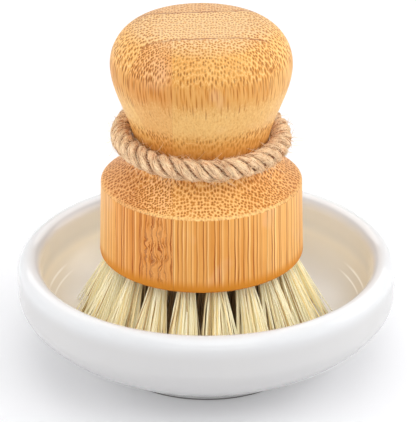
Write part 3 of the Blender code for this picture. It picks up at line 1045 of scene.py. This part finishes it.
def byBillet(past, values):
    # one number for each strip of the front layer and for each layer behind it
    value = past["left"] * (values["front"] - values["left"]) + values["left"]
    value = past["right"] * (values["right"] - values["front"]) + value
    value = remap(past["front"], 0.0, 1.0, value, values["middle"], "LINEAR")
    return past["back"] * (values["back"] - values["middle"]) + value


def spacedBy(past, spacing):
    return byBillet(past, {part: 1 / width for part, width in spacing.items()})


def caneNode(x, z):
    # how near a point is to the cane's node, 1 in its middle
    (placeX, placeZ), (wide, tall) = bambooLook["node"]["place"], bambooLook["node"]["spread"]
    away = vectorLength(combine((x - placeX) / wide, (z - placeZ) / tall, 0.0))
    return remap(away, 0.45, 1.0, 1.0, 0.0)


def grainAround(x, y, z, node):
    # millimetres round the body, which sway a little along the grain and curl at the node
    look = bambooLook
    angle = maths("ARCTAN2", x, y * -1.0)
    around = (angle + maths("SINE", angle * 2.0) * look["sideSpread"]) * look["aroundRadius"]
    sway = noise(combine(around * 0.35, z * 0.13, 0.0), 1.0) - 0.5
    around = around + sway * (node * look["node"]["sway"] + 0.4)
    curl = noise(combine(around * 0.62, z * 0.40, 3.0), 3.0, 0.6) - 0.5
    return around + curl * node * look["node"]["curl"]


def makeBamboo():
    look = bambooLook
    material, tree, shader = startMaterial("oiledBamboo")
    place = objectPlace(tree, (axisX, 0, 0))
    x, y, z = parts(place)
    depth, past, layer, own, sideSeam, layerSeam = gluedBillets(place, x, y, z)
    leftStrip = (1 - past["front"]) * (1 - past["left"])

    # where the surface cuts the cane across, along or at a slant
    facing = maths("ABSOLUTE", upwardShare(tree))
    endCut = remap(facing, 0.72, 0.96)
    sideCut = remap(facing, 0.06, 0.30, 1.0, 0.0)
    slantCut = 1 - sideCut
    worn = noise(place * 0.3)
    layerSeam = layerSeam * remap(facing, 0.5, 0.95, 0.12, 0.8) * remap(worn, 0.3, 0.6, 0.4, 1.0)
    layerSeam = layerSeam * remap(z, widestZ + 8.8, widestZ + 10.0, 0.1, 1.0)

    # zones from the shoulder up to the crown
    onKnob = remap(z, neckZ - 4, neckZ)
    offKnob = 1 - onKnob
    onShoulder = slantCut * offKnob
    onCrown = onKnob * endCut
    aboveRope = remap(z, neckZ + 8, neckZ + 12.5)
    onNeck = aboveRope * remap(z, widestZ - 7, widestZ - 2.5, 1.0, 0.0)
    underKnob = aboveRope * remap(z, widestZ - 2.5, widestZ + 0.5, 1.0, 0.0)
    offNeck = between(underKnob, 1.0, 0.1)
    raggedZ = (noise(place * (0.45, 0.45, 0.06), 3.0, 0.7) - 0.5) * 16.0 + z
    dashNeck = aboveRope * remap(raggedZ, widestZ - 8, widestZ - 4.5, 1.0, 0.0)
    dense = remap(maths("ABSOLUTE", x - 0.5), *look["denseSides"])

    # bundles run the whole length of the cane: dots where it is cut across, lines where it is cut along
    node = caneNode(x, z) * leftStrip * sideCut
    around = grainAround(x, y, z, node)
    dash, dashHalo = longDots(around, z, look["dashes"])
    stroke, strokeHalo = longDots(around, z, look["strokes"])
    dark, pale, band = sawnLines(around, z, spacedBy(past, look["lineSpacing"]), onKnob)
    stretch = combine(1.0, past["front"] * (look["rowStretch"] - 1) + 1.0, 1.0)
    unstretch = maths("DIVIDE", (1.0, 1.0, 0.0), stretch) * between(dense, 1.0, 0.80)
    density = spacedBy(past, look["bundleSpacing"]) * between(onKnob, 1.0, 1.1)
    cellPlace = (place + own[1] * 40.0) * stretch * density
    core, halo = bundleDots(cellPlace, look["coreShare"], unstretch)
    fade = noise(place * (0.35, 0.35, 0.1))
    faded = remap(fade, 0.32, 0.55, between(dense, 0.45, 0.9), 1.0)
    bundle = core * byBillet(past, look["bundleShade"]) * faded
    outerBundles = onCrown * bandAt(depth, look["backSeam"] - 2.5, 2.0, 3.0)
    bundle = bundle * offNeck * (outerBundles * 0.5 + 1.0)
    netShown = slantCut * offNeck * between(onKnob, 0.95, between(larger(dense, onCrown), 0.35, 0.8))

    # fine fibre, grit, and pink patches that are painted highlights
    fine = noise(combine(around * 2.2, z * 0.05, layer), 3.0, 0.7)
    grit = noise(place * (2.4, 2.4, 1.2))
    gritShown = between(sideCut, 0.5, 0.0)
    pinkHighlight = remap(noise(place * (0.11, 0.11, 0.08)), 0.58, 0.74, 0.0, 0.4)
    for placeX, placeZ in look["pinkHighlightPlaces"]:
        away = vectorLength(combine(x - placeX, z - placeZ, 0.0))
        pinkHighlight = larger(pinkHighlight, remap(away, 1.5, 6.5, 0.85, 0.0) * leftStrip)

    # how deep the ground's tone is, from slow changes, the billet's own tone and the place
    rightStrip = past["right"] * sideCut
    tone = remap(noise(place * (0.09, 0.09, 0.06), 3.0), 0.3, 0.7) * 0.45 + own[0] * 0.25
    tone = tone + leftStrip * (onShoulder * 0.35 + 0.34) + onShoulder * dense * 0.85
    tone = larger(tone - rightStrip * 0.45, 0.0) * between(sideCut * offKnob, 1.0, 0.68)
    tone = tone + onKnob * bandAt(z, widestZ - 1.5, 2.5, 5.0) * 0.5 + band * sideCut * 0.5

    sideShown = sideCut * (1 - node * 0.15) * between(onKnob, 1.0, 0.12)
    knobSideShown = larger(sideCut, underKnob) * onKnob * between(dashNeck, 1.0, 0.08)
    bundleShown = between(sideCut, 0.95, dense * onKnob * 0.45 + 0.15)
    endPale = mixColour(past["front"], look["endPaleFront"], look["endPale"])
    low, high = look["lowEdgeHeight"]
    ropeLow, ropeHigh = look["ropeShade"]
    left, right = look["leftShoulder"], look["rightShoulder"]
    colour = painted(look["ground"], [
        (maths("MINIMUM", tone, 1.0), look["deep"]),
        (remap(fine, 0.5, 0.72) * 0.4, look["deep"]),
        (endCut * between(onKnob, 0.25, 0.9), endPale),
        (pinkHighlight, look["pinkHighlight"]),
        (rightStrip * 0.22, look["web"]),
        (onNeck * 0.48, look["web"]),
        (bundleNet(cellPlace) * netShown, look["web"]),
        (halo * netShown, look["deep"]),
        (remap(grit, 0.50, 0.70) * gritShown, look["web"]),
        (remap(grit, 0.30, 0.48, 1.0, 0.0) * gritShown, look["deep"]),
        (pale * sideShown * 0.8, look["web"]),
        (node * 0.62, look["deep"]),
        (dark * (node * 0.7 + sideShown), look["line"]),
        ((1 - strokeHalo) * node * 0.22, look["web"]),
        (stroke * node * 0.85, look["line"]),
        ((1 - dashHalo) * knobSideShown * 0.25, look["web"]),
        (dash * knobSideShown * remap(fade, 0.3, 0.6, 0.42, 0.80), look["line"]),
        (bundle * bundleShown, look["bundle"]),
        (bandAt(z, blockTopZ, 0.1, 0.4) * 0.5, look["web"]),  # a paler line along the block's top edge
        (onShoulder * remap(x, *left["reach"], 1.0, 0.0), left["tint"], "MULTIPLY"),
        (onShoulder * remap(x, *right["reach"]), right["tint"], "MULTIPLY"),
        (leftStrip * (1 - onShoulder), look["leftStripTint"], "MULTIPLY"),
        ((sideCut - onKnob) * remap(x, *look["leftEnd"]), look["web"]),
        (remap(z, undersideZ + low, undersideZ + high, 1.0, 0.0), look["lowEdge"]),
        # painted shadow of the rope on the neck, just above it
        (remap(z, neckZ + ropeLow, neckZ + ropeHigh, 0.6, 0.0) * onKnob, look["deep"]),
        (onKnob, look["knobTint"], "MULTIPLY"),
        (onCrown * remap(depth - look["backSeam"], -0.3, 0.3), look["crownBackTint"], "MULTIPLY"),
        (larger(sideSeam, layerSeam), look["seam"]),
    ])
    sunk = larger(larger(dark * sideShown * 0.4, bundle), layerSeam * 0.5)
    setInputs(shader, {
        "Base Color": colour,
        "Roughness": bundle * 0.15 + fine * 0.14 + 0.40,
        "Specular IOR Level": 0.3,
        "Normal": bumpFrom(fine * 0.3 - sunk, 0.4, 0.1),
    })
    return material


fibreLook = {
    "pale": (1.0, 0.965, 0.78, 1),
    "straw": (0.97, 0.84, 0.50, 1),
    "dark": (0.42, 0.25, 0.085, 1),
    "hidden": (0.44, 0.27, 0.12, 1),  # painted shade: fibres that stand behind others, inside the brush, are darker
    "darkFibres": 0.88,
    "throughShare": 0.3,
    "glow": 0.115,  # light that many small bounces between the fibres would add
}


def makeFibre():
    # plant fibre is a little see-through, so part of the light that falls on it comes out at its far side
    look = fibreLook
    material, tree, shader = startMaterial("plantFibre")
    shade, depth, outward = storedValues(tree, "fibreShade", "fibreDepth", "fibreOutside")
    outside = remap(outward, -1.1, -0.1)
    flecks = noise(objectPlace(tree) * (3.0, 3.0, 0.5))
    colour = painted(look["pale"], [
        (remap(shade, 0.35, 0.98), look["straw"]),
        # some fibres are dark: their own tone, and also painted shade between the fibres
        (above(shade, look["darkFibres"]) * 0.75, look["dark"]),
        (remap(flecks, 0.5, 0.8, 0.0, 0.3), look["straw"]),
        # painted shade: the fibres are darker where they leave the block
        (remap(depth, 0.0, 0.2, 0.15, 0.0), look["dark"]),
        ((1 - outside) * 0.85, look["hidden"]),
    ])
    setInputs(shader, {
        "Base Color": colour,
        "Roughness": remap(flecks, 0.2, 0.8, 0.42, 0.62),
        "Emission Color": colour,
        "Emission Strength": remap(depth, 0.0, 0.5, 0.3 * look["glow"], look["glow"]) * outside,
        "Normal": bumpFrom(flecks, 0.15, 0.03),
    })
    through = addNode("ShaderNodeBsdfTranslucent", 0, {"Color": colour})
    inputs = {0: look["throughShare"], 1: Value(shader.outputs[0]), 2: through}
    setInputs(tree.nodes["Material Output"], {"Surface": addNode("ShaderNodeMixShader", 0, inputs)})
    return material


juteLook = {
    "light": (1.0, 0.79, 0.52, 1),
    "middle": (0.99, 0.54, 0.255, 1),
    "dark": (0.42, 0.15, 0.055, 1),
    "grooveShade": (0.24, 0.065, 0.02, 1),
    "grooveDepth": (2.1, 2.7),
    "rightShadeTint": (0.90, 0.86, 0.84, 1),
    "rightFrom": (8.0, 22.0),
}


def makeJute():
    look = juteLook
    material, tree, shader = startMaterial("laidJute")
    names = ("fibreRun", "fibreAround", "strandNumber", "fromMiddle")
    run, around, number, fromMiddle = storedValues(tree, *names)
    hairLight, hairDark = storedValues(tree, "hairLight", "hairDark")
    lines = noise(combine(run * 0.45, (run * 0.35 + around) * 3.2, number), 3.0, 0.75)
    place = objectPlace(tree)
    # painted shade: the skin is darker where it lies near the rope's middle, in the grooves between
    # strands, and on the hairs between the rope and the neck
    grooveShade = remap(fromMiddle, *look["grooveDepth"], 1.0, 0.0) * above(fromMiddle, 0.1)
    colour = painted(look["dark"], [
        (remap(lines, 0.37, 0.52), look["light"]),
        (remap(noise(place, 3.0, scale=0.5), 0.3, 0.75, 0.0, 0.4), look["middle"]),
        (remap(noise(place, scale=2.4), 0.58, 0.75) * 0.7, look["light"]),
        (grooveShade, look["grooveShade"]),
        # painted shade: the rope is darker towards its right
        (remap(parts(place)[0], *look["rightFrom"]), look["rightShadeTint"], "MULTIPLY"),
        (remap(hairLight, 0.25, 0.6, 0.0, 0.9) * (1 - grooveShade), look["light"]),
        (hairDark * 0.85, look["dark"]),
    ])
    setInputs(shader, {
        "Base Color": colour,
        "Roughness": remap(lines, 0.2, 0.8, 0.95, 0.75),
        "Specular IOR Level": 0.12,
        "Normal": bumpFrom(lines, 0.9, 0.15),
    })
    return material


glazeLook = {
    # painted shade: the outside is a darker grey than the rim and the bowl, though the glaze is the same
    # white
    "outside": (0.64, 0.635, 0.635, 1),
    "well": (0.915, 0.89, 0.87, 1),
    # painted light: the bowl's wall is creamy for the warm light that the wood and fibres throw on it
    "wall": (0.85, 0.80, 0.71, 1),
    # painted light: the top of the bowl's wall is paler still
    "wallTopLight": (1.0, 0.945, 0.85, 1),
    "wallHeight": (11.0, 18.0),
    "wallTopLightHeight": (20.0, 27.0),
    # painted shade of the brush over the right of the bowl
    "brushShadeTint": (0.89, 0.89, 0.90, 1),
    "brushShadeFrom": (5.0, 35.0),
    "rim": (0.745, 0.755, 0.77, 1),
    # painted shade along the rim's inner edge
    "rimEdgeShade": (0.60, 0.61, 0.635, 1),
    "thin": (0.70, 0.68, 0.65, 1),
    # painted contact shadow: the lowest 0.35 mm of the foot is near black, and rougher
    "footShadow": (0.10, 0.09, 0.08, 1),
    "footShadowHeight": 0.35,
    # light that small bounces would add to the steep wall: from one height to another, and how much
    "bounced": ((15.0, 22.5, 0.105), (20.5, 27.0, 0.08)),
    "bouncedColour": (1.0, 0.83, 0.57, 1),
    "highlightRings": (45.7, 44.2),  # painted highlight: two thin bright rings, seen at the two sides
    "highlightColour": (1, 0.985, 0.94, 1),
    "satin": 0.2,  # how much rougher the glaze is inside the bowl
}


def makeGlaze():
    # whiter in the well, creamy on the bowl's wall, thin over the rim, with painted light inside and
    # painted shade outside and under the foot
    look = glazeLook
    material, tree, shader = startMaterial("whiteGlaze")
    place = objectPlace(tree)
    x, y, z = parts(place)
    fromAxis = vectorLength(place * (1.0, 1.0, 0.0))
    pooling = noise(place, scale=0.06)
    pits = noise(place, scale=1.6)
    footShadow = remap(z, look["footShadowHeight"], look["footShadowHeight"] + 0.3, 1.0, 0.0)
    over = above(z, bowlFloorZ - 1.0) * above(upwardShare(tree), -0.05)  # the inside, not the belly
    inBowl = remap(fromAxis, bowlRadius - 0.5, bowlRadius + 1.5, 1.0, 0.0) * over
    rimEdgeShade = bandAt(fromAxis, bowlRadius + 0.7, 0.5, 0.9) * over
    line = larger(*(bandAt(fromAxis, radius, 0.04, 0.22) for radius in look["highlightRings"]))
    # the highlight rings show only at the two sides of the bowl
    line = line * bandAt(y, 10.5, 3.0, 8.0) * inBowl
    bowlColour = painted(look["well"], [
        (remap(z, *look["wallHeight"]), look["wall"]),
        (remap(z, *look["wallTopLightHeight"]), look["wallTopLight"]),
        (remap(x, *look["brushShadeFrom"]), look["brushShadeTint"], "MULTIPLY"),
    ])
    colour = painted(look["outside"], [
        (remap(z, dishHeight - 6.0, dishHeight - 0.5), look["rim"]),
        (inBowl, bowlColour),
        (rimEdgeShade * 0.8, look["rimEdgeShade"]),
        (line * 0.75, look["highlightColour"]),
        (remap(pooling, 0.3, 0.7, 0.0, 0.12), look["thin"]),
        (remap(pits, 0.72, 0.8, 0.0, 0.2), look["thin"]),
        (footShadow, look["footShadow"]),
    ])
    lower, upper = (remap(z, start, end, 0.0, strength) for start, end, strength in look["bounced"])
    height = noise(place, 1.0, scale=0.12) + footShadow * pits * 0.3 + line * 2.5
    setInputs(shader, {
        "Base Color": colour,
        "Roughness": remap(pooling, 0.3, 0.7, 0.025, 0.05) + footShadow * 0.6 + inBowl * look["satin"],
        # painted light: a glow on the steep wall, and a little more along the highlight rings
        "Emission Color": mixColour(line, look["bouncedColour"], look["highlightColour"]),
        "Emission Strength": (lower + upper) * inBowl + line * 0.06,
        "Normal": bumpFrom(height, 0.08, 0.3),
    })
    return material


wireLook = {"dark": (0.50, 0.50, 0.51, 1), "light": (0.70, 0.70, 0.71, 1)}


def makeWire():
    material, tree, shader = startMaterial("drawnSteel")
    drawn = noise(objectPlace(tree) * (6.0, 6.0, 1.0))
    setInputs(shader, {
        "Base Color": mixColour(drawn, wireLook["dark"], wireLook["light"]),
        "Roughness": remap(drawn, 0.2, 0.8, 0.25, 0.45),
        "Metallic": 1.0,
    })
    return material


scene = bpy.context.scene
scene.view_settings.view_transform = "Standard"
addCamera()
addSky()
addFloor()
for name, facts in lights["boxes"].items():
    addSoftbox(name + "Softbox", facts)
print("camera and studio ready")

jute = makeJute()
fibre = makeFibre()
steel = makeWire()
places = tuftPlaces()
makeDish(makeGlaze())
print("dish done")
makeWoodenBody(makeBamboo(), places)
print("wooden body done, with", len(places), "holes")
fibreRandom = np.random.default_rng(tufts["seed"])
for name, ring, mouth, axes in places:
    makeTuft(name, ring, mouth, axes, fibre, fibreRandom)
    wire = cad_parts[f"wire_{name}"]
    wire.data.materials.clear()
    wire.data.materials.append(steel)
print("tufts done,", tufts["folded"], "folded fibres in each")
makeRope(jute)
makeLaidHairs(jute)
makeFuzz(jute)
makeBinding(jute)
print("rope, loose hairs and binding done")
